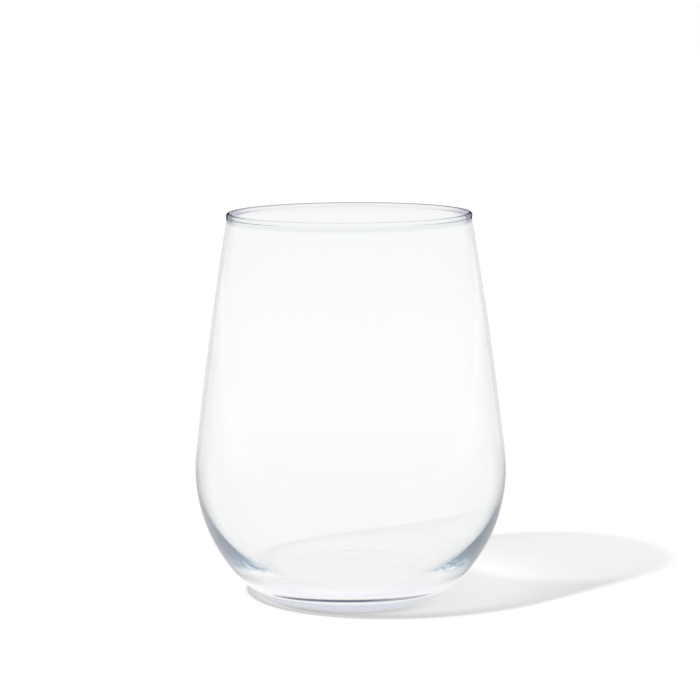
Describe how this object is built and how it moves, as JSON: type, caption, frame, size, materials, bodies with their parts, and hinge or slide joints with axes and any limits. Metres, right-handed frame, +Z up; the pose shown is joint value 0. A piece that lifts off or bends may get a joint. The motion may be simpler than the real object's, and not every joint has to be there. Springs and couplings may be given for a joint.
{
  "type": "stemless wine glass",
  "caption": "Clear stemless wine glass: round belly that narrows to a rolled rim, thickened heel and a flat foot ring round a shallow punt; holds a drink.",
  "frame": {"origin": "middle of the foot ring, on the surface that the glass stands on", "axes": "+Z up along the axis of revolution, towards the mouth; X and Y are free, because the glass is round"},
  "size_m": [0.09, 0.09, 0.1105],
  "materials": {
    "clear_glass": "clear and polished, faintly blue grey where it is thick"
  },
  "bodies": {
    "root": {"glass_body": "clear_glass"}
  },
  "joints": []
}
